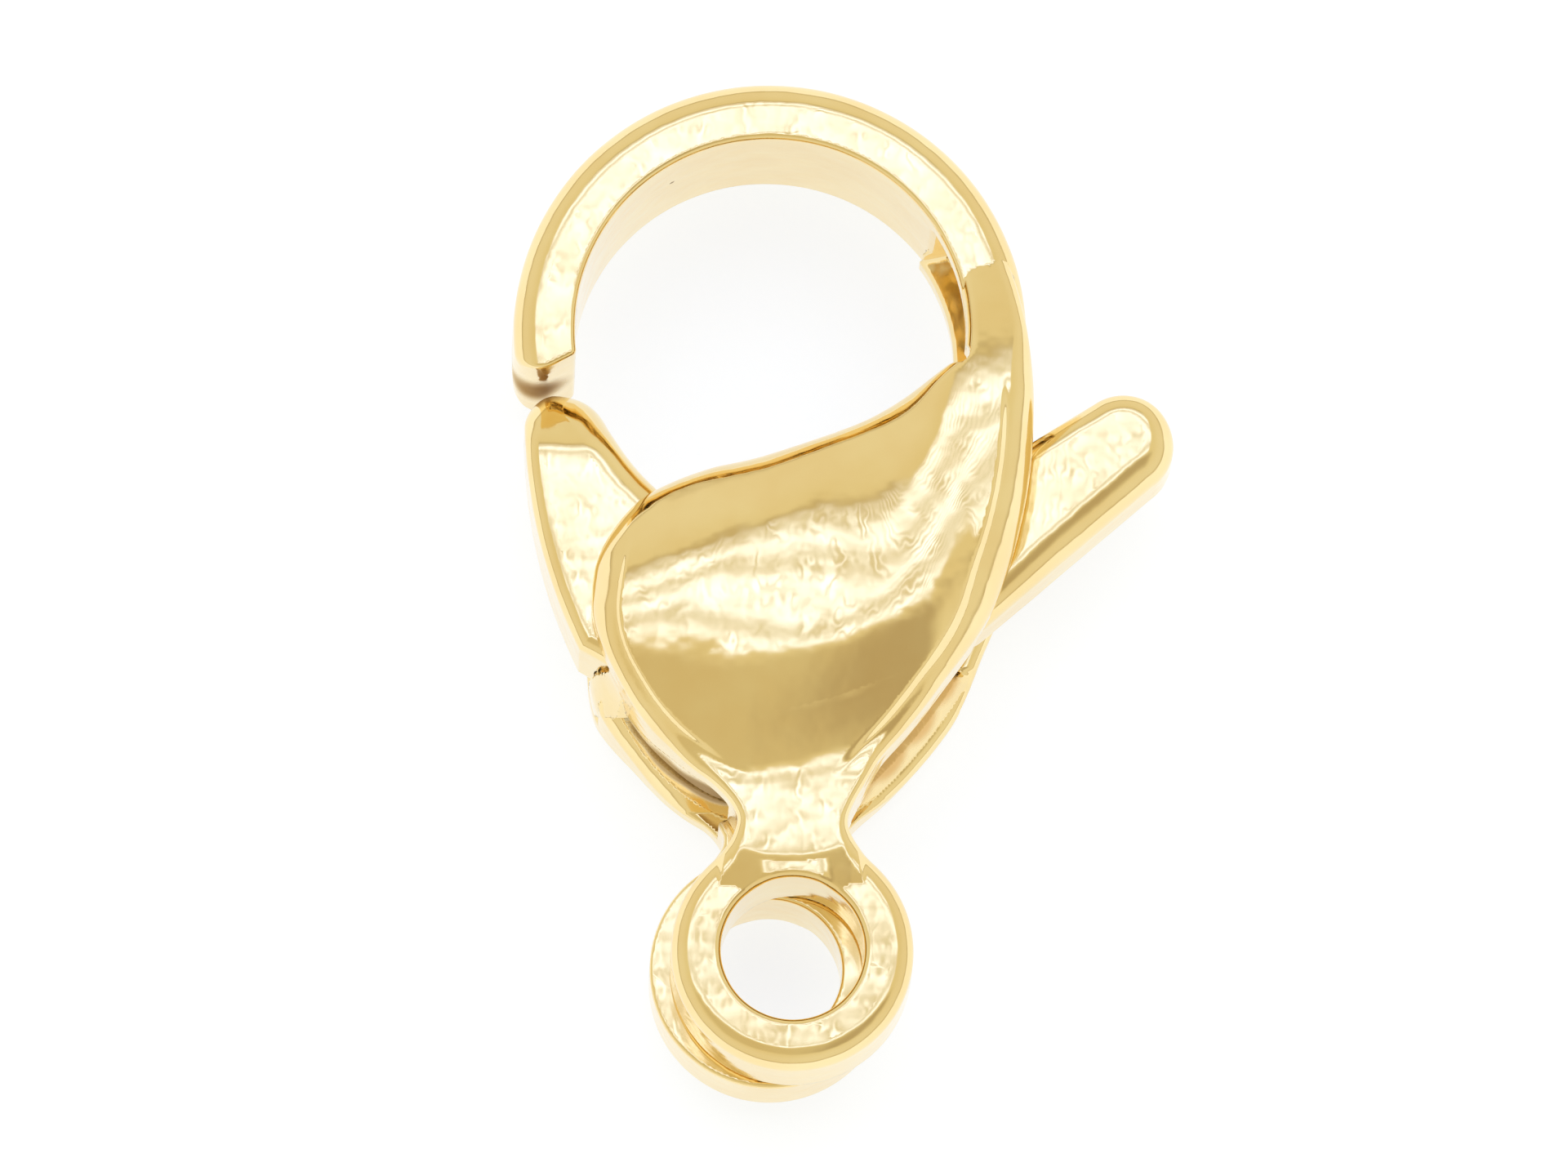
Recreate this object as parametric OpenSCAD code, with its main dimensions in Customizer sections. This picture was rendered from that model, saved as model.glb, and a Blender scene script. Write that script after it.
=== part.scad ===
// Small lobster clasp in polished gold-coloured metal, lying on its back.
// Millimetres. The origin is the centre of the eye's hole, halfway through its thickness.
// +Z points out of the front face, +Y runs from the eye to the top of the hook,
// +X points to the side of the thumb tab.

/* [Hook] */
// middle of the hook's circle, across
hook_x = -0.145; // [-0.2:0.005:-0.1]
// middle of the hook's circle, along
hook_y = 7.56; // [7.5:0.01:7.6]
// inner radius of the hook
hook_inner_r = 2.33; // [2.2:0.01:2.4]
// outer radius of the hook
hook_outer_r = 3.075; // [3.04:0.005:3.12]
// thickness of the hook, front to back
hook_t = 2.3; // [2.2:0.05:2.4]
// round-over of the hook's outer edges
hook_round = 0.3; // [0.2:0.02:0.4]
// slope of the hook's end face, degrees
tip_slope = 27; // [22:1:32]

/* [Shells] */
// height of the domed faces above the middle plane
dome_z = 1.7; // [1.6:0.02:1.76]
// radius of the domed faces
dome_r = 10; // [9.5:0.25:11]
// round-over of the shells' side edges
rim_round = 0.45; // [0.35:0.05:0.5]
// height at which the side edges start to round over
rim_z = 0.9; // [0.85:0.05:1.0]
// height of the space between the shells
slot_t = 1.7; // [1.64:0.02:1.74]
// angle by which the front and back halves are out of line, about the middle of the hook
skew = 1.8; // [0:0.1:2.0]
// radius of the flat patch that the back rests on
rest_r = 0.9; // [0.6:0.1:1.0]

/* [Eye] */
// radius of the eye's hole
eye_hole_r = 0.85; // [0.8:0.01:0.9]
// outer radius of the eye
eye_outer_r = 1.44; // [1.4:0.01:1.48]
// thickness of both eye plates together
eye_t = 2.4; // [2.3:0.05:2.45]
// gap between the two eye plates
seam = 0.1; // [0.06:0.02:0.14]
// round-over of the eye plates' outer edges
eye_round = 0.28; // [0.2:0.02:0.34]

/* [Lever] */
// thickness of the gate and its hub
lever_t = 1.56; // [1.5:0.02:1.6]
// thickness of the thumb tab
tab_t = 1.4; // [1.3:0.05:1.5]
// middle of the hub, across
pivot_x = -0.69; // [-0.72:0.01:-0.66]
// middle of the hub, along
pivot_y = 3.04; // [3.0:0.01:3.08]
// radius of the hub
hub_r = 0.72; // [0.66:0.02:0.74]
// radius of the pivot pin
pin_r = 0.4; // [0.35:0.01:0.42]
// gap between the pin and the hub's hole
pin_gap = 0.04; // [0.02:0.01:0.08]

/* [Hidden] */
$fn = 96;
gold = [0.84, 0.69, 0.40];
steel = [0.74, 0.74, 0.75];

// arcs that bound the shells and the gate: centre and radius
//         x      y      r
left_arc  = [0.18,  4.26,  2.50];
right_arc = [-3.05, 6.60,  6.03];
brow_arc  = [-1.93, 12.90, 7.03];
gate_arc  = [3.52,  6.62,  6.59];
inner_arc = [0.21,  7.61,  2.67];
// highest point of the domes, across and along
dome_at = [0.6, 5.2];
// round-over along the shells' upper edge
brow_round = 0.8;
// slope of the shells' faces inside the rounded rim, degrees
rim_rise = 55;
// the gate's rounded end: centre and radius
gate_end = [-2.60, 6.35, 0.50];
// the thumb tab's round end: centre and radius
tab_end = [4.09, 6.32, 0.62];
// directions of the thumb tab's lower and upper edges, degrees from +X
tab_low = 41;
tab_high = 32;
// distances of those edges from the end's centre
tab_low_at = 0.57;
tab_high_at = 0.6;
// round-over at the mouths of the eye's hole
eye_mouth = 0.1;
// how deep the pin sits on each side of the middle plane
pin_half = 1.12;

// points along a round-over: from the wall at radius r and height z0, turning inwards by up to 90 - rise degrees
function rim_points(r, z0, round, rise) =
    [for (i = [0:5]) let (t = (90 - rise) * i / 5)
        [r - round + round * cos(t), z0 + round * sin(t)]];

// a wide disc with a rounded rim on both sides and faces that rise inwards, which bounds the shells
module rim_disc(arc) {
    up = rim_points(arc[2], rim_z, rim_round, rim_rise);
    top = up[5][1] + up[5][0] * tan(rim_rise);
    down = [for (i = [5:-1:0]) [up[i][0], -up[i][1]]];
    translate([arc[0], arc[1], 0])
        rotate_extrude() polygon(concat([[0, -top]], down, up, [[0, top]]));
}

// a round hole with rounded mouths, for cutting: r in the middle, wider by flare at z0 + flare
module flared_cut(arc, z0, flare) {
    translate([arc[0], arc[1], 0])
        rotate_extrude() difference() {
            translate([0, -2.4]) square([arc[2] + flare, 4.8]);
            translate([arc[2], -z0]) square([flare + 1, 2 * z0]);
            translate([arc[2] + flare, z0]) circle(r = flare);
            translate([arc[2] + flare, -z0]) circle(r = flare);
        }
}

// a flat disc with rounded rims
module round_disc(r, half, round) {
    rotate_extrude() intersection() {
        union() {
            translate([0, -half]) square([r - round, 2 * half]);
            translate([0, -(half - round)]) square([r, 2 * (half - round)]);
            translate([r - round, half - round]) circle(r = round);
            translate([r - round, -(half - round)]) circle(r = round);
        }
        translate([0, -half]) square([r, 2 * half]);
    }
}

module hook() {
    difference() {
        translate([hook_x, hook_y, 0]) rotate([0, 0, -20])
            rotate_extrude(angle = 226) hook_section();
        // sloped end face
        translate([-2.73, 7.11, 0]) rotate([0, 0, tip_slope])
            translate([-2, -3, -2]) cube([4, 3, 4]);
        // blunted outer corner of the end
        translate([-3.10, 7.12, 0]) rotate([0, 0, -49])
            translate([-1, -2, -2]) cube([2, 2, 4]);
    }
}

module hook_section() {
    h = hook_t / 2;
    i = 0.05;
    polygon([
        [hook_inner_r, -h + i], [hook_inner_r + i, -h],
        [hook_outer_r - hook_round, -h], [hook_outer_r - hook_round, h],
        [hook_inner_r + i, h], [hook_inner_r, h - i]
    ]);
    translate([hook_inner_r + 0.1, -(h - hook_round)])
        square([hook_outer_r - hook_inner_r - 0.1, 2 * (h - hook_round)]);
    translate([hook_outer_r - hook_round, h - hook_round]) circle(r = hook_round);
    translate([hook_outer_r - hook_round, -(h - hook_round)]) circle(r = hook_round);
}

// both shells as one block, before the space between them is cut
module shells() {
    intersection() {
        rim_disc(right_arc);
        union() {
            rim_disc(left_arc);
            translate([left_arc[0] + 0.05, 1.5, -2]) cube([5, 7.25, 4]);
        }
        translate([dome_at[0], dome_at[1], dome_z - dome_r]) sphere(r = dome_r);
    }
}

// what is cut away above the shells' upper edge
module brow_cut() {
    intersection() {
        flared_cut(brow_arc, slot_t / 2 - 0.02, brow_round);
        flared_cut([hook_x, hook_y, hook_inner_r + 0.02], 0.8, 0.5);
    }
    // the blunted upper left corner
    translate([-1.8, 5.46, 0]) rotate([0, 0, 45]) {
        translate([-2, 0.04, -2]) cube([4, 2, 4]);
        translate([-2, 0.04, 0.95]) rotate([52, 0, 0]) cube([4, 2, 2]);
    }
}

module neck() {
    difference() {
        translate([0, 0, -0.1]) linear_extrude(eye_t / 2 + 0.08)
            polygon([[-0.55, 0.95], [-0.85, 1.4], [-0.85, 2.02], [0.95, 2.02], [0.95, 1.4], [0.62, 0.95]]);
        flared_cut([-1.22, 1.55, 0.46], eye_t / 2 - 0.27, 0.25);
        flared_cut([1.27, 1.60, 0.46], eye_t / 2 - 0.27, 0.25);
        translate([0, 0, -3]) cylinder(r = eye_hole_r + 0.2, h = 6);
    }
}

// one of the two eye plates, before the hole is drilled
module eye_plate() {
    top = eye_t / 2;
    low = seam / 2;
    s = 0.06;
    rotate_extrude() union() {
        polygon([
            [0, low], [eye_outer_r - s, low], [eye_outer_r, low + s],
            [eye_outer_r, top - eye_round],
            [eye_outer_r - eye_round, top - eye_round],
            [eye_outer_r - eye_round, top], [0, top]
        ]);
        translate([eye_outer_r - eye_round, top - eye_round]) circle(r = eye_round);
    }
}

// the front half, before it is turned out of line
module half() {
    intersection() {
        difference() {
            shells();
            brow_cut();
        }
        translate([-6, -3, -0.04]) cube([12, 14, 4]);
    }
    neck();
    eye_plate();
}

// side = 1 for the front half, -1 for the back half
module turned_half(side) {
    translate([hook_x, hook_y, 0]) rotate([0, 0, side * skew / 2])
        translate([-hook_x, -hook_y, 0])
            mirror([0, 0, side < 0 ? 1 : 0]) half();
}

// level of the flat patch on the back
function rest_z() = dome_r - dome_z - sqrt(dome_r * dome_r - rest_r * rest_r);

// the space between the shells, where the lever moves
module slot() {
    h = slot_t / 2;
    difference() {
        translate([0, 0, -h]) linear_extrude(slot_t)
            polygon([
                [-4.5, 0.4], [4.5, 0.4], [4.5, 6.72], [3.08, 6.72],
                [2.62, 7.45], [2.36, 8.97], [1.2, 8.97], [-1.2, 6.6], [-4.5, 6.6]
            ]);
        // platform at the neck, where the shells come together
        translate([0.05, 0, -3]) cylinder(r = 2.08, h = 6);
    }
    // seam below it
    translate([-4.5, -3, -seam / 2]) cube([9, 6, seam]);
}

module body() color(gold) {
    difference() {
        union() {
            hook();
            turned_half(1);
            intersection() {
                turned_half(-1);
                translate([-6, -3, rest_z()]) cube([12, 14, 4]);
            }
        }
        slot();
        // hole through both eye plates, with rounded mouths
        flared_cut([0, 0, eye_hole_r], eye_t / 2 - eye_mouth, eye_mouth);
        // blind seats for the pin
        translate([pivot_x, pivot_y, -pin_half - 0.02])
            cylinder(r = pin_r + 0.02, h = 2 * pin_half + 0.04);
        // nick in the corner between hook and shells
        translate([2.04, 7.18, -3]) cylinder(r = 0.12, h = 6);
    }
}

module lever() color(gold) {
    difference() {
        union() {
            gate();
            translate([pivot_x, pivot_y, -lever_t / 2]) cylinder(r = hub_r, h = lever_t);
            tab();
        }
        translate([pivot_x, pivot_y, -2]) cylinder(r = pin_r + pin_gap, h = 4);
    }
}

// the curved arm that closes the hook, with its wide root between the shells
module gate() {
    h = lever_t / 2;
    intersection() {
        difference() {
            intersection() {
                translate([gate_arc[0], gate_arc[1], 0]) round_disc(gate_arc[2], h, 0.2);
                linear_extrude(4, center = true)
                    polygon([
                        [-3.6, 7.2], [-3.6, 4.1], [-2.2, 3.27], [-1.05, 2.5],
                        [-0.32, 2.5], [2.3, 4.15], [2.8, 4.75], [2.7, 6.2],
                        [2.0, 5.85], [1.0, 7.2]
                    ]);
            }
            flared_cut(inner_arc, h - 0.2, 0.2);
        }
        // rounded end
        union() {
            translate([-4, 0, -2]) cube([8, gate_end[1], 4]);
            translate([gate_end[0], gate_end[1], 0])
                round_disc(gate_end[2], h + 0.03, 0.38);
        }
    }
}

module tab() {
    h = tab_t / 2;
    translate([tab_end[0], tab_end[1], 0]) {
        round_disc(tab_end[2], h, 0.25);
        intersection() {
            edge_bar(tab_low, tab_low_at, h, 0);
            mirror([0, 1, 0]) edge_bar(-tab_high, tab_high_at, h, 0.1);
        }
    }
}

// a wide bar that runs back from the tab's end, with one bevelled edge at the distance at below its axis
module edge_bar(angle, at, h, more) {
    c = 0.16;
    k = h + more;
    rotate([0, 0, angle]) rotate([0, -90, 0]) translate([0, 0, -0.05 - more])
        linear_extrude(2.35 + more)
            polygon([
                [-k, -at + c + more], [-h + c, -at], [h - c, -at],
                [k, -at + c + more], [k, 1.8], [-k, 1.8]
            ]);
}

module pivot_pin() color(steel)
    translate([pivot_x, pivot_y, -pin_half]) cylinder(r = pin_r, h = 2 * pin_half);

body();
lever();
pivot_pin();
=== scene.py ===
import math

import bpy
import numpy as np
from mathutils import Matrix, Vector


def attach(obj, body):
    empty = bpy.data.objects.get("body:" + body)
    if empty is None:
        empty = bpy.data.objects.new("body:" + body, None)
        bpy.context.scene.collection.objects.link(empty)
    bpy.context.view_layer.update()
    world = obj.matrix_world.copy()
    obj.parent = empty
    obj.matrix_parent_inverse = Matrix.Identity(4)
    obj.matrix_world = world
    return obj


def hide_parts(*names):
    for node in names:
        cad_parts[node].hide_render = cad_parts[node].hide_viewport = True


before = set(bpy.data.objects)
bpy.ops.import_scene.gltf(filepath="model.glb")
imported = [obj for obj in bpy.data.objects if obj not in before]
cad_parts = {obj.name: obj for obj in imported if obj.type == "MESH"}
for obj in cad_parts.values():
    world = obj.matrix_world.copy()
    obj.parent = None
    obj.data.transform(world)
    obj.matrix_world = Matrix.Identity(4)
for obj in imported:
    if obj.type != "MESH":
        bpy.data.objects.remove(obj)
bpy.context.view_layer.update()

# ---------------------------------------------------------------- shape helpers
# Shapes are distance functions in millimetres: negative inside, zero on the surface.

HOOK = (-0.145, 7.56)      # middle of the hook's circle
R_IN, R_OUT = 2.33, 3.075
SKEW = math.radians(0.9)   # each half is turned this much out of line


def hyp(a, b):
    return np.sqrt(a * a + b * b)


def cut(a, b, r):
    """Intersection of a and b whose outer corner is rounded to radius r."""
    return np.minimum(np.maximum(a, b), -r) + hyp(np.maximum(a + r, 0), np.maximum(b + r, 0))


def join(a, b, r):
    """Union of a and b whose inner corner is filled to radius r."""
    return np.maximum(np.minimum(a, b), r) - hyp(np.maximum(r - a, 0), np.maximum(r - b, 0))


def soft_min(a, b, k):
    h = np.maximum(k - np.abs(a - b), 0) / k
    return np.minimum(a, b) - h * h * k * 0.25


def step(x, a, b):
    t = np.clip((x - a) / (b - a), 0, 1)
    return t * t * (3 - 2 * t)


def disc(x, y, c):
    return hyp(x - c[0], y - c[1]) - c[2]


def line(x, y, px, py, deg):
    """Distance from the line through (px, py) at this angle: negative on its left side."""
    a = math.radians(deg)
    return (x - px) * math.sin(a) - (y - py) * math.cos(a)


def turned(x, y, angle):
    """The point as the half that is turned by this angle sees it."""
    c, s = math.cos(angle), math.sin(angle)
    dx, dy = x - HOOK[0], y - HOOK[1]
    return HOOK[0] + dx * c + dy * s, HOOK[1] - dx * s + dy * c


def waves(x, y, z, size, seed):
    """Very low ripples of the hand-polished surface, about -1 to 1."""
    rng = np.random.default_rng(seed)
    out = 0
    for i in range(7):
        d = rng.normal(size=3)
        d *= 2 * math.pi / (size * rng.uniform(0.7, 1.5) * np.linalg.norm(d))
        out = out + np.sin(x * d[0] + y * d[1] + z * d[2] + rng.uniform(0, 6.28))
    return out / 3.5


# ---------------------------------------------------------------- body
LEFT = (0.18, 4.26, 2.50)
RIGHT = (-3.05, 6.60, 6.03)
BROW = (-1.93, 12.90, 7.03)


def rims(x, y):
    """Distance from the left and right rims of the shell in plan."""
    right = disc(x, y, RIGHT)
    left = np.minimum(disc(x, y, LEFT), np.maximum(LEFT[0] + 0.05 - x, 1.5 - y))
    return cut(right, left, 0.02)


def front_height(x, y):
    """Height of the pillow of one half over the middle plane."""
    # crown: highest along an arc that follows the upper edge
    v = 4.55 - hyp(x + 1.2, y - 8.6)
    up = np.maximum(v + 0.52 * np.exp(-((x - 1.2) / 0.7) ** 2) - 0.15 * step(-x, 0.2, 0.9), 0)
    bulge = 0.42 * np.exp(-((x - 0.65) / 1.1) ** 2) * (1 - step(-v, 0.45, 1.5))
    down = np.maximum(-v - bulge + 0.12 * step(-x, 0.5, 1.2) + 0.35 * step(x, 1.6, 2.3), 0)
    h = 1.70 - 0.119 * up * up - 0.10 * np.maximum(up - 0.9, 0) ** 2
    h = h - 0.119 * np.minimum(down, 1.3) ** 2 - 0.37 * np.maximum(down - 1.3, 0)
    h = h - 0.012 * (x - 0.3) ** 2
    # it droops towards the blunted corner
    h = h - 0.17 * np.maximum(-0.6 * x + 0.8 * y - 4.1, 0) ** 2
    # the slope that comes down to the hook's flat face on the right arm
    arm = 1.15 + 0.35 * (8.34 - y - 0.12 * (x - 2.5))
    h = soft_min(h, arm, 0.32)
    # the neck is flat, and the eye's plate lies a little lower
    ramp = (1.11 + 0.30 * np.minimum(x * x, 0.5) - y) / 0.50
    ramp = np.clip(0.5 * (ramp + np.sqrt(ramp * ramp + 0.004)), 0, 1)
    patch = step(-np.abs(x - 0.04), -0.46, -0.26) * step(y, 0.2, 0.6)
    ramp = ramp * (1 - patch) + np.minimum(ramp, 0.18) * patch
    ramp = np.maximum(ramp, step(np.abs(x), 0.74, 0.88) * step(-y, -1.30, -1.05))
    flat = np.where(y < 3.4, 1.275 - 0.095 * ramp - 0.01 * np.maximum(0.5 - y, 0), -1.0)
    k = 0.10
    return np.maximum(h, flat) + np.maximum(k - np.abs(h - flat), 0) ** 2 / (4 * k)


def half(x, y, z, fuller, fillet):
    """One half of the body, with its face towards +z, before it is turned out of line."""
    outline = rims(x, y) - fuller * step(-y, -4.2, -3.1)
    brow = -disc(x, y, BROW)
    corner = -line(x, y, -1.8, 5.46, 45) - 0.03
    edge = cut(brow, corner, 0.45)
    keep = np.where(x > 0.6, join(edge, R_IN + 0.01 - hyp(x - HOOK[0], y - HOOK[1]), fillet), edge)
    shell = cut(outline, keep, 0.30)
    neck = np.maximum(np.abs(x - 0.02) - 0.62 - 0.14 * (y - 1.45), np.abs(y - 1.4) - 0.9)
    plan = join(join(shell, neck, 0.35), hyp(x, y) - 1.44, 0.35)
    plan = np.maximum(plan, y - 8.9)

    # a plate with a rounded rim, and a pillow on it, with a narrow valley between them
    fade = np.maximum(step(-x, 0.2, 0.8) * step(-y, -5.1, -4.3), step(x, -0.2, 0.4) * step(-y, -6.9, -6.2))
    fade = fade * step(y, 2.0, 2.7)
    wide = 0.21 + 0.125 * step(y, 3.4, 4.7)
    rise = 0.06 + 0.03 * step(x, -0.5, 0.5)
    q = (-outline - wide) / rise
    q = np.clip(0.5 * (q + np.sqrt(q * q + 0.02)), 0, 1)
    lean = 0.30 - 0.16 * step(x, -0.5, 0.5)
    top = front_height(x, y) - fade * (rise * (1 - q) ** 2 + lean * np.maximum(wide + outline, 0))

    on_edge = step(keep - outline, -0.25, 0.25)
    r_rim = 0.26 - 0.13 * step(y, 1.0, 1.7) + 0.22 * step(y, 3.3, 4.7) - 0.18 * step(y, 6.8, 7.7)
    r_edge = 0.28 - 0.14 * step(x, 1.4, 2.0)
    r = r_rim + (r_edge - r_rim) * on_edge
    out = cut(plan, z - top, r)
    return cut(out, 0.85 - hyp(x, y), 0.09)


def tip_end(x, y):
    """Cuts the hook's end off at a slope, and its hidden end on the right square."""
    a = cut(-0.0 + line(x, y, -2.73, 7.11, 27), line(x, y, -3.10, 7.12, -49), 0.24)
    return np.where(x < -0.5, a, 6.7 - y)


def ring(x, y, z):
    rho = hyp(x - HOOK[0], y - HOOK[1])
    outer = rho - R_OUT + 0.025 * (z / 1.15) ** 2
    s = cut(outer, np.abs(z) - 1.15, 0.33)
    ledge = 0.09 * step(-z, 0.25, 0.5) * step(-y, -8.9, -8.86) * step(y, 6.9, 7.6) * np.where(x > 0, 1, 0)
    s = cut(s, R_IN - ledge - rho, 0.07)
    return cut(s, tip_end(x, y), 0.05)


SLOT = [(-4.5, 0.4), (4.5, 0.4), (4.5, 6.72), (3.08, 6.72), (2.62, 7.45), (2.28, 8.86), (1.2, 8.84), (-1.2, 6.6), (-4.5, 6.6)]


def polygon(x, y, pts):
    """Distance from a polygon in plan."""
    d = np.full(np.broadcast(x, y).shape, 1e9)
    s = np.ones(d.shape)
    n = len(pts)
    for i in range(n):
        (ax, ay), (bx, by) = pts[i], pts[i - 1]
        ex, ey = bx - ax, by - ay
        wx, wy = x - ax, y - ay
        t = np.clip((wx * ex + wy * ey) / (ex * ex + ey * ey), 0, 1)
        d = np.minimum(d, (wx - ex * t) ** 2 + (wy - ey * t) ** 2)
        c1 = y >= ay
        c2 = y < by
        c3 = ex * wy > ey * wx
        flip = (c1 & c2 & c3) | (~c1 & ~c2 & ~c3)
        s = np.where(flip, -s, s)
    return s * np.sqrt(d)


def slot(x, y, z, fx, fy, bx, by):
    """The space between the halves: for the lever, and shallower in the arm above it."""
    plan = polygon(x, y, SLOT)
    plan = cut(plan, -(hyp(x - 0.05, y) - 1.95), 0.05)
    high = step(y, 6.95, 7.15)
    rho = hyp(x - HOOK[0], y - HOOK[1])
    floor = (0.38 - 1.1 * np.clip(2.50 - rho, 0, 0.30)) * high
    s = cut(plan, np.maximum(z - 0.85 + 0.05 * high, -z - 0.85 + floor), 0.05)
    # the halves' walls come down and nearly meet at the lower left, and part of the way on the right
    for px, py, pz, slope in ((fx, fy, z, 0.0), (bx, by, -z, 1.0)):
        d = rims(px, py)
        reach = 0.04 + 0.80 * np.clip((3.22 - py) / 1.15, 0, 1)
        top = np.maximum(3.24, 3.275 - 0.5676 * (x + 2.12))
        wall = np.maximum(np.maximum(-0.20 - d, y - top), np.maximum(px + 0.1, reach - pz))
        s = np.maximum(s, -wall)
        reach = 0.47 - 0.27 * step(-py, -2.4, -1.8) + slope * (0.45 * np.clip(d + 0.42, 0, 0.30) + 2.2 * np.clip(d + 0.12, 0, 0.12)) * step(-py, -3.9, -3.6)
        reach = reach + 0.26 * step(py, 3.68, 3.84)
        wall = np.maximum(np.maximum(-0.42 - d, py - 6.60), np.maximum(0.1 - px, reach - pz))
        s = np.maximum(s, -wall)
    d = rims(x, y)
    inside = np.maximum(d + 0.11, -0.40 + 0.18 * step(y, 2.8, 2.95) - d)
    s = np.maximum(s, -np.maximum(inside, np.maximum(y - np.where(x < 0, 3.08, 2.30), 0.1 - np.abs(x))))
    seam = np.maximum(np.abs(z) - 0.05, y - 3.0)
    return np.minimum(s, seam)


def body(x, y, z):
    fx, fy = turned(x, y, SKEW)
    bx, by = turned(x, y, -SKEW)
    # the back half's shell lies a little further right than its eye
    low = np.where(x > 0, 0.0, step(-y, -3.3, -2.5))
    bx = bx - 0.07 * step(y, 1.2, 2.6) * step(-y, -6.5, -5.0) - 0.11 * low * step(y, 1.0, 2.0)
    front = half(fx, fy, z, -0.09 * step(y, 1.9, 2.5), 0.02)
    back = np.maximum(half(bx, by, -z, 0.11, 0.40), -z - 1.6594)
    halves = np.where(z > 0.03, front, np.where(z < -0.03, back, np.minimum(front, back)))
    s = np.minimum(ring(x, y, z), halves)
    soft = 0.045 + 0.12 * step(-z, -0.3, 0.3) * step(-y, -6.4, -5.6) * step(y, 1.9, 2.3)
    s = cut(s, -slot(x, y, z, fx, fy, bx, by), soft)
    # the halves' walls meet below the gate's lower end, before the gap opens
    w = step(z, -0.50, 0.75)
    d = rims(bx + (fx - bx) * w, by + (fy - by) * w)
    d = d - (0.11 * (1 - w) - 0.09 * w * step(y, 1.9, 2.5)) * step(-y, -4.2, -3.1)
    wall = np.maximum(np.maximum(d, -0.20 - d), np.maximum(y - 3.525 + 0.5676 * (x + 2.12), np.abs(z) - 0.95))
    wall = np.maximum(wall, np.maximum(3.02 + 0.25 * np.abs(z - 0.1) - y, x + 0.1))
    s = np.minimum(s, wall)
    # a small notch where the upper edge meets the arm, in the front half only
    s = np.maximum(s, np.minimum(0.14 - hyp(x - 2.08, y - 7.22), z + 0.3))
    return s + 0.0012 * waves(x, y, z, 0.9, 3)


# ---------------------------------------------------------------- lever
GATE = (3.52, 6.62, 6.59)
INNER = (0.21, 7.61, 2.52)
TAB = (4.09, 6.32, 0.62)


def lever(x, y, z):
    h = 0.78
    az = np.abs(z)
    outer = disc(x, y, GATE)
    inner = -disc(x, y, INNER)
    plan = polygon(x, y, [(-3.6, 7.6), (-3.6, 4.42), (-2.12, 3.58), (-1.5, 3.16), (-1.05, 2.84), (-0.32, 2.55), (2.3, 4.15), (2.8, 4.75), (2.7, 6.2), (2.0, 5.85), (1.0, 7.6)])
    end = line(x, y, -2.45, 7.03, 16) * -1
    plan = np.maximum(plan, np.maximum(cut(outer, end, 0.34), cut(inner, end, 0.52)))
    # its end slopes down, and its edge is rounder on the side of the hook's opening
    far = hyp(x + 0.69, y - 3.04)
    t = y - 6.20
    low = h - 0.38 * step(far, 1.35, 1.60) * step(x, -0.2, 0.3) - 0.20 * (t + np.sqrt(t * t + 0.012))
    gate = cut(plan, az - low, 0.20 + 0.20 * step(inner - outer, -0.45, 0.30) * step(y, 4.6, 5.4) + 0.10 * step(y, 6.3, 6.7))
    hub = cut(disc(x, y, (-0.69, 3.04, 0.56)), az - h, 0.05)
    # thumb tab: a wedge with round edges and a round end, more rounded below than above
    a = math.radians(36.5)
    dx, dy = x - TAB[0], y - TAB[1]
    along = dx * math.cos(a) + dy * math.sin(a)
    across = -dx * math.sin(a) + dy * math.cos(a)
    wide = 0.60 - 0.079 * np.minimum(along, 0)
    plan = np.where(along > 0, hyp(along, across) - 0.60, np.maximum(np.abs(across) - wide, -3.7 - along))
    plan = np.maximum(plan, 3.1 - y)
    root = 0.04 * np.clip(1 - rims(x, y) / 0.5, 0, 1) ** 2
    root = root + 0.28 * (1 - step(far, 2.92, 3.27))
    tab = cut(plan, az - 0.7 + root, 0.38 - 0.12 * step(across, -0.35, 0.35))
    s = np.minimum(np.minimum(gate, hub), tab)
    s = np.maximum(s, 0.44 - disc(x, y, (-0.69, 3.04, 0.0)))
    return s + 0.0012 * waves(x, y, z, 0.8, 5)


# ---------------------------------------------------------------- meshing
CORNERS = [(0, 0, 0), (1, 0, 0), (0, 1, 0), (1, 1, 0), (0, 0, 1), (1, 0, 1), (0, 1, 1), (1, 1, 1)]
EDGES = [(0, 1), (2, 3), (4, 5), (6, 7), (0, 2), (1, 3), (4, 6), (5, 7), (0, 4), (1, 5), (2, 6), (3, 7)]


def gradient(f, p, e=0.004):
    g = np.empty_like(p)
    for i in range(3):
        a, b = p.copy(), p.copy()
        a[:, i] += e
        b[:, i] -= e
        g[:, i] = (f(a[:, 0], a[:, 1], a[:, 2]) - f(b[:, 0], b[:, 1], b[:, 2])) / (2 * e)
    return g


def to_surface(f, p, steps=3):
    for _ in range(steps):
        v = f(p[:, 0], p[:, 1], p[:, 2])
        g = gradient(f, p)
        p = p - np.clip(v / np.maximum((g * g).sum(1), 0.2), -0.02, 0.02)[:, None] * g
    return p


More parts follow.
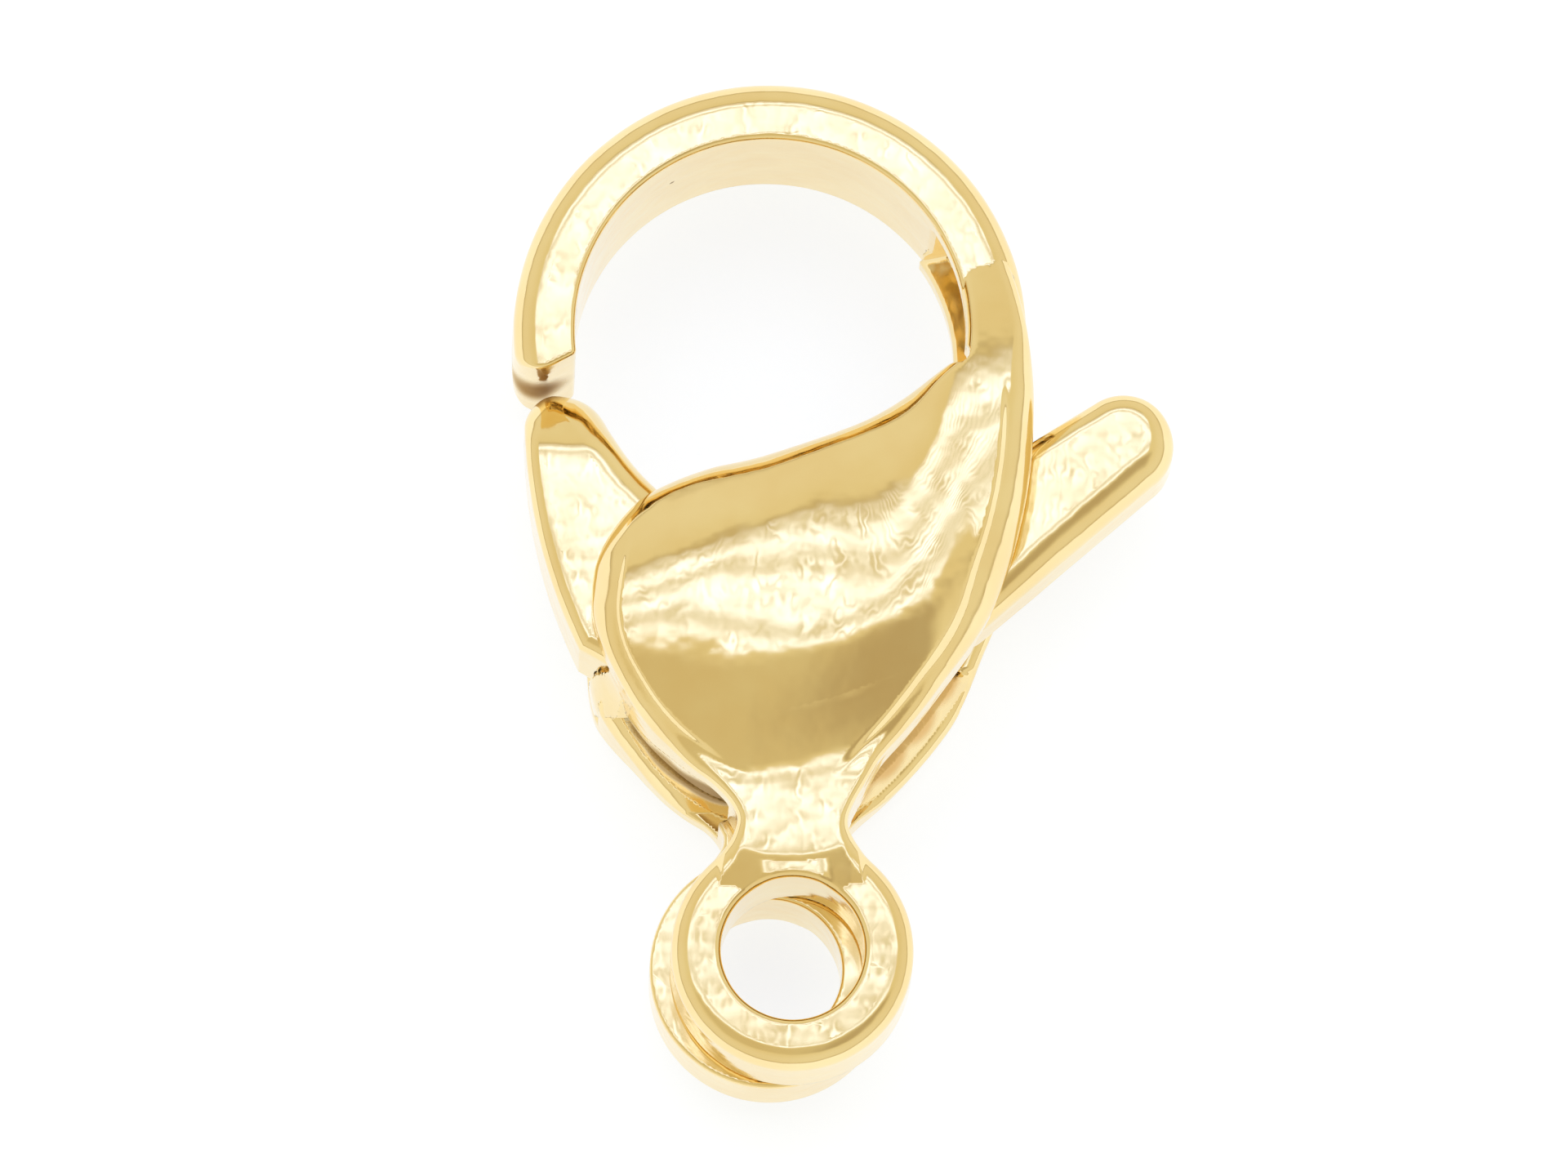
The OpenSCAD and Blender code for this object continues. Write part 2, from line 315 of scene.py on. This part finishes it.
def mesh_of(f, lo, hi, h):
    """Vertices and quads of the surface of f, on a grid of this step."""
    axes = [np.arange(math.floor(a / h) - 1, math.ceil(b / h) + 2) * h for a, b in zip(lo, hi)]
    X, Y, Z = axes
    parts = []
    for i in range(0, len(X), 24):
        parts.append(f(X[i:i + 24, None, None], Y[None, :, None], Z[None, None, :]).astype(np.float32))
    V = np.concatenate(parts)
    inside = V < 0
    n = [s - 1 for s in V.shape]

    def corner(A, c):
        return A[c[0]:c[0] + n[0], c[1]:c[1] + n[1], c[2]:c[2] + n[2]]

    some = np.zeros(n, bool)
    every = np.ones(n, bool)
    for c in CORNERS:
        k = corner(inside, c)
        some |= k
        every &= k
    cells = np.argwhere(some & ~every)
    index = -np.ones(n, np.int32)
    index[cells[:, 0], cells[:, 1], cells[:, 2]] = np.arange(len(cells))
    vals = np.stack([V[cells[:, 0] + c[0], cells[:, 1] + c[1], cells[:, 2] + c[2]] for c in CORNERS], 1).astype(float)
    total = np.zeros((len(cells), 3))
    count = np.zeros(len(cells))
    for a, b in EDGES:
        va, vb = vals[:, a], vals[:, b]
        hit = (va < 0) != (vb < 0)
        t = np.where(hit, va / np.where(hit, va - vb, 1), 0)
        ca, cb = np.array(CORNERS[a], float), np.array(CORNERS[b], float)
        total += np.where(hit, 1, 0)[:, None] * (ca + t[:, None] * (cb - ca))
        count += hit
    verts = (cells + total / count[:, None]) * h + np.array([X[0], Y[0], Z[0]])

    quads = []
    for ax in range(3):
        o = [i for i in range(3) if i != ax]
        sl_a = [slice(1, -1)] * 3
        sl_b = [slice(1, -1)] * 3
        sl_a[ax] = slice(0, -1)
        sl_b[ax] = slice(1, None)
        A, B = inside[tuple(sl_a)], inside[tuple(sl_b)]
        for flip in (False, True):
            e = np.argwhere((A & ~B) if not flip else (~A & B))
            base = e.copy()
            for i in o:
                base[:, i] += 1
            cell = []
            for d1, d2 in ((0, 0), (1, 0), (1, 1), (0, 1)):
                q = base.copy()
                q[:, o[0]] -= 1 - d1
                q[:, o[1]] -= 1 - d2
                cell.append(index[q[:, 0], q[:, 1], q[:, 2]])
            q = np.stack(cell, 1)
            if flip != (ax == 1):
                q = q[:, ::-1]
            quads.append(q)
    return verts, np.concatenate(quads)


def build(name, f, lo, hi, h, keep):
    verts, quads = mesh_of(f, lo, hi, h)
    verts = to_surface(f, verts)
    me = bpy.data.meshes.new(name)
    me.from_pydata((verts * 0.001).tolist(), [], quads.tolist())
    me.update()
    ob = bpy.data.objects.new(name, me)
    bpy.context.collection.objects.link(ob)
    tris = 2 * len(quads)
    if tris > keep:
        mod = ob.modifiers.new("fewer", "DECIMATE")
        mod.ratio = keep / tris
        mod.use_collapse_triangulate = True
        deps = bpy.context.evaluated_depsgraph_get()
        new = bpy.data.meshes.new_from_object(ob.evaluated_get(deps))
        ob.modifiers.clear()
        ob.data = new
        bpy.data.meshes.remove(me)
        me = new
        me.name = name
    n = len(me.vertices)
    co = np.empty(n * 3, np.float32)
    me.vertices.foreach_get("co", co)
    p = co.reshape(-1, 3).astype(float) * 1000
    p = to_surface(f, p, 2)
    me.vertices.foreach_set("co", (p * 0.001).astype(np.float32).ravel())
    g = gradient(f, p)
    g /= np.maximum(np.linalg.norm(g, axis=1), 1e-9)[:, None]
    me.polygons.foreach_set("use_smooth", np.ones(len(me.polygons), bool))
    me.update()
    me.normals_split_custom_set_from_vertices(g.tolist())
    print(name, len(me.vertices), "vertices", sum(len(q.vertices) - 2 for q in me.polygons), "triangles")
    return ob


# ---------------------------------------------------------------- materials
def node(nt, kind, **values):
    nd = nt.nodes.new(kind)
    for k, v in values.items():
        if k in nd.inputs.keys():
            nd.inputs[k].default_value = v
        else:
            setattr(nd, k, v)
    return nd


def polished(name, light, dark, rough, fine, marks_and_painted_shading=()):
    """Polished metal: faint mottling in colour and polish, fine ripples, and a few spots of other colour and polish:
    pits, and painted shade and painted reflection.

    Each spot is (place in mm, size in mm, how soft its edge is, how strong, colour)."""
    m = bpy.data.materials.new(name)
    m.use_nodes = True
    nt = m.node_tree
    bsdf = nt.nodes["Principled BSDF"]
    bsdf.inputs["Metallic"].default_value = 1.0
    at = node(nt, "ShaderNodeTexCoord").outputs["Object"]
    cloud = node(nt, "ShaderNodeTexNoise", Scale=900.0, Detail=3.0, Roughness=0.55)
    nt.links.new(at, cloud.inputs["Vector"])
    ramp = node(nt, "ShaderNodeValToRGB")
    ramp.color_ramp.elements[0].position = 0.35
    ramp.color_ramp.elements[0].color = (*dark, 1)
    ramp.color_ramp.elements[1].position = 0.65
    ramp.color_ramp.elements[1].color = (*light, 1)
    nt.links.new(cloud.outputs["Fac"], ramp.inputs["Fac"])
    colour = ramp.outputs["Color"]
    shine = None
    for place, size, soft, strong, tint in marks_and_painted_shading:
        far = node(nt, "ShaderNodeVectorMath", operation="DISTANCE")
        nt.links.new(at, far.inputs[0])
        far.inputs[1].default_value = [c * 0.001 for c in place]
        amount = node(nt, "ShaderNodeMapRange", interpolation_type="SMOOTHSTEP")
        amount.inputs["From Min"].default_value = size * 0.001
        amount.inputs["From Max"].default_value = size * (1 - soft) * 0.001
        amount.inputs["To Min"].default_value = 0.0
        amount.inputs["To Max"].default_value = strong
        nt.links.new(far.outputs["Value"], amount.inputs["Value"])
        mix = node(nt, "ShaderNodeMix", data_type="RGBA")
        nt.links.new(amount.outputs["Result"], mix.inputs[0])
        nt.links.new(colour, mix.inputs[6])
        mix.inputs[7].default_value = (*tint, 1)
        colour = mix.outputs[2]
        dull = node(nt, "ShaderNodeMath", operation="MULTIPLY_ADD")
        nt.links.new(amount.outputs["Result"], dull.inputs[0])
        dull.inputs[1].default_value = -0.85
        dull.inputs[2].default_value = 1.0
        if shine is not None:
            both = node(nt, "ShaderNodeMath", operation="MULTIPLY")
            nt.links.new(shine, both.inputs[0])
            nt.links.new(dull.outputs[0], both.inputs[1])
            dull = both
        shine = dull.outputs[0]
    nt.links.new(colour, bsdf.inputs["Base Color"])
    if shine is not None:
        nt.links.new(shine, bsdf.inputs["Metallic"])
    grain = node(nt, "ShaderNodeTexNoise", Scale=3800.0, Detail=1.0, Roughness=0.4)
    nt.links.new(at, grain.inputs["Vector"])
    polish = node(nt, "ShaderNodeMapRange")
    polish.inputs["To Min"].default_value = rough[0]
    polish.inputs["To Max"].default_value = rough[1]
    polish.inputs["From Min"].default_value = 0.3
    polish.inputs["From Max"].default_value = 0.7
    nt.links.new(grain.outputs["Fac"], polish.inputs["Value"])
    rough_out = polish.outputs["Result"]
    if shine is not None:
        # where the shine is gone the surface is matt
        matt = node(nt, "ShaderNodeMapRange")
        matt.inputs["From Min"].default_value = 0.15
        matt.inputs["From Max"].default_value = 1.0
        matt.inputs["To Min"].default_value = 0.6
        matt.inputs["To Max"].default_value = 0.0
        nt.links.new(shine, matt.inputs["Value"])
        add = node(nt, "ShaderNodeMath", operation="ADD", use_clamp=True)
        nt.links.new(rough_out, add.inputs[0])
        nt.links.new(matt.outputs["Result"], add.inputs[1])
        rough_out = add.outputs[0]
    nt.links.new(rough_out, bsdf.inputs["Roughness"])
    bump = node(nt, "ShaderNodeBump", Strength=fine, Distance=0.000006)
    nt.links.new(grain.outputs["Fac"], bump.inputs["Height"])
    nt.links.new(bump.outputs["Normal"], bsdf.inputs["Normal"])
    return m


# spots on the gold: one real pit; the rest is painted shade and painted reflection on the hook's end face and in the
# gaps, the slot and the notch
PIT_AND_PAINTED_SHADING = [
    ((-2.97, 6.96, -0.10), 0.62, 0.75, 1.0, (0.45, 0.25, 0.05)),   # the hook's end face: painted brown shade and painted reflection of the gold below it, made duller and rougher
    ((-1.31, 9.585, 0.20), 0.045, 0.6, 0.85, (0.30, 0.22, 0.15)),  # a pit in the hook's inner wall
    ((-1.62, 2.92, 0.05), 0.30, 0.6, 0.80, (0.62, 0.42, 0.15)),    # painted brown shade inside the gap on the lower left, darker towards the neck
    ((-1.30, 2.50, 0.05), 0.50, 0.5, 0.90, (0.52, 0.33, 0.10)),
    ((-0.95, 2.10, 0.10), 0.55, 0.5, 0.90, (0.40, 0.24, 0.07)),
    ((1.90, 3.62, -0.50), 0.38, 0.5, 0.75, (0.86, 0.54, 0.19)),    # painted orange shade inside the gap on the lower right
    ((1.62, 3.15, -0.50), 0.42, 0.5, 0.75, (0.86, 0.54, 0.19)),
    ((1.27, 2.68, -0.50), 0.42, 0.5, 0.75, (0.86, 0.54, 0.19)),
    ((1.02, 2.25, -0.40), 0.40, 0.5, 0.75, (0.80, 0.50, 0.17)),
    ((2.22, 8.60, 0.05), 0.40, 0.4, 0.90, (0.62, 0.38, 0.11)),     # painted brown shade inside the slot in the arm
    ((2.40, 8.10, 0.05), 0.40, 0.4, 0.90, (0.62, 0.38, 0.11)),
    ((2.48, 7.60, 0.05), 0.40, 0.4, 0.90, (0.62, 0.38, 0.11)),
    ((2.02, 7.08, -0.55), 0.30, 0.5, 0.80, (0.62, 0.36, 0.10)),    # painted brown shade in the notch
]
gold = polished("gold_plate", (0.96, 0.785, 0.425), (0.93, 0.73, 0.37), (0.06, 0.13), 1.0, PIT_AND_PAINTED_SHADING)
steel = polished("plain_steel", (0.60, 0.59, 0.57), (0.52, 0.51, 0.50), (0.25, 0.40), 0.2)

metal = build("clasp_body", body, (-3.4, -1.7, -1.75), (3.2, 10.8, 1.78), 0.034, 197000)
metal.data.materials.clear()
metal.data.materials.append(gold)
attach(metal, "body")
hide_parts("body")

arm = build("clasp_lever", lever, (-3.3, 2.2, -0.85), (4.8, 7.2, 0.85), 0.034, 170000)
arm.data.materials.clear()
arm.data.materials.append(gold)
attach(arm, "lever")
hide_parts("lever")

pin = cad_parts["pivot_pin"]
pin.data.materials.clear()
pin.data.materials.append(steel)

# ---------------------------------------------------------------- floor, light, camera
WALL_LOW = (0.60, 0.53, 0.38)
WALL = (0.84, 0.79, 0.63)
TENT = (0.80, 0.73, 0.515)
HOLE = (0.68, 0.60, 0.40)
HOLE_DIM = (0.52, 0.44, 0.29)
FRAME = (0.60, 0.52, 0.34)
PANEL = (0.76, 0.72, 0.60)
LAMP = (1.50, 1.75, 2.60)
KEY = 0.30
floor_z = -0.0016594 - 0.000002
bpy.ops.mesh.primitive_plane_add(size=0.6, location=(0, 0.005, floor_z))
floor = bpy.context.object
floor.name = "floor"
paper = bpy.data.materials.new("floor_paper")
paper.use_nodes = True
pb = paper.node_tree.nodes["Principled BSDF"]
pb.inputs["Base Color"].default_value = (0.30, 0.30, 0.30, 1)
pb.inputs["Emission Color"].default_value = (0.93, 0.96, 1.0, 1)
pb.inputs["Emission Strength"].default_value = 0.80
pb.inputs["Roughness"].default_value = 0.9
floor.data.materials.append(paper)

world = bpy.data.worlds.new("studio")
bpy.context.scene.world = world
world.use_nodes = True
wt = world.node_tree


def calc(op, *ins):
    """A math node; each input is a number or another node's output."""
    nd = wt.nodes.new("ShaderNodeMath")
    nd.operation = op
    for i, v in enumerate(ins):
        if isinstance(v, (int, float)):
            nd.inputs[i].default_value = v
        else:
            wt.links.new(v, nd.inputs[i])
    return nd.outputs[0]


def ease(v, a, b):
    """0 where v is at a or before, 1 at b or past."""
    nd = wt.nodes.new("ShaderNodeMapRange")
    nd.interpolation_type = "SMOOTHSTEP"
    nd.inputs["From Min"].default_value = a
    nd.inputs["From Max"].default_value = b
    wt.links.new(v, nd.inputs["Value"])
    return nd.outputs["Result"]


def blend(fac, a, b):
    nd = wt.nodes.new("ShaderNodeMix")
    nd.data_type = "RGBA"
    wt.links.new(fac, nd.inputs[0])
    for v, k in ((a, 6), (b, 7)):
        if isinstance(v, tuple):
            nd.inputs[k].default_value = (*v, 1)
        else:
            wt.links.new(v, nd.inputs[k])
    return nd.outputs[2]


# the studio: a pale tent with a warm opening on the side that the front is seen from,
# a ceiling panel of small lamps over it, and a dim band at the foot of the walls
sky = wt.nodes.new("ShaderNodeTexCoord").outputs["Generated"]
sep = wt.nodes.new("ShaderNodeSeparateXYZ")
wt.links.new(sky, sep.inputs[0])
up = calc("MAXIMUM", sep.outputs[2], 0.05)
px = calc("DIVIDE", sep.outputs[0], up)
py = calc("DIVIDE", sep.outputs[1], up)
tent = blend(ease(sep.outputs[2], 0.0, 0.16), WALL_LOW, WALL)
tent = blend(ease(sep.outputs[2], 0.40, 0.85), tent, TENT)
side = calc("SUBTRACT", 1.0, ease(calc("ABSOLUTE", px), 0.55, 1.1))
hole = calc("MULTIPLY", calc("MULTIPLY", ease(py, -0.95, -0.62), calc("SUBTRACT", 1.0, ease(py, -0.16, -0.03))), side)
tent = blend(hole, tent, blend(ease(px, 0.02, 0.40), HOLE, HOLE_DIM))
wide = calc("SUBTRACT", 1.0, ease(calc("ABSOLUTE", px), 0.48, 0.62))
panel = calc("MULTIPLY", calc("MULTIPLY", ease(py, -0.06, 0.02), calc("SUBTRACT", 1.0, ease(py, 0.66, 0.86))), wide)
lamp_x = calc("SINE", calc("MULTIPLY", px, 120.0))
lamp_y = calc("SINE", calc("MULTIPLY_ADD", py, 22.0, 1.85))
lamps = ease(calc("ADD", lamp_x, calc("MULTIPLY", lamp_y, 0.8)), -1.0, 1.3)
frame_band = calc("MULTIPLY", calc("MULTIPLY", ease(py, 0.60, 0.72), calc("SUBTRACT", 1.0, ease(py, 0.85, 1.00))), wide)
tent = blend(frame_band, tent, FRAME)
tent = blend(panel, tent, blend(lamps, PANEL, LAMP))
wt.links.new(tent, wt.nodes["Background"].inputs["Color"])
wt.nodes["Background"].inputs["Strength"].default_value = 1.0


def area(name, size, at, target, power, colour=(1, 1, 1)):
    data = bpy.data.lights.new(name, "AREA")
    data.shape = "RECTANGLE"
    data.size, data.size_y = size
    data.energy = power
    data.color = colour
    ob = bpy.data.objects.new(name, data)
    bpy.context.collection.objects.link(ob)
    ob.location = at
    d = Vector(target) - Vector(at)
    ob.rotation_euler = d.to_track_quat("-Z", "Y").to_euler()
    ob.visible_glossy = False
    return ob


centre = Vector((0.00004, 0.004645, 0))
area("softbox", (0.40, 0.22), (0.0, 0.005 + 0.30 * math.sin(math.radians(18)), 0.30 * math.cos(math.radians(18))), centre, KEY, (0.92, 0.96, 1.0))

# camera: 250 mm away, 13 degrees below the clasp's normal and 1.2 to the left
u = Vector((-math.tan(math.radians(1.2)), -math.tan(math.radians(13.0)), 1.0)).normalized()
cam_data = bpy.data.cameras.new("camera")
cam = bpy.data.objects.new("camera", cam_data)
bpy.context.collection.objects.link(cam)
r = Vector((0, 1, 0)).cross(u).normalized()
v = u.cross(r)
rot = Matrix((r, v, u)).transposed().to_4x4()
cam.matrix_world = Matrix.Translation(centre + 0.25 * u) @ rot
cam_data.sensor_fit = "HORIZONTAL"
cam_data.sensor_width = 36.0
cam_data.lens = 36.0 * 102.5 * 250.0 / 1920.0
cam_data.clip_start = 0.01
cam_data.clip_end = 5.0
bpy.context.scene.camera = cam
bpy.context.scene.view_settings.view_transform = "Standard"
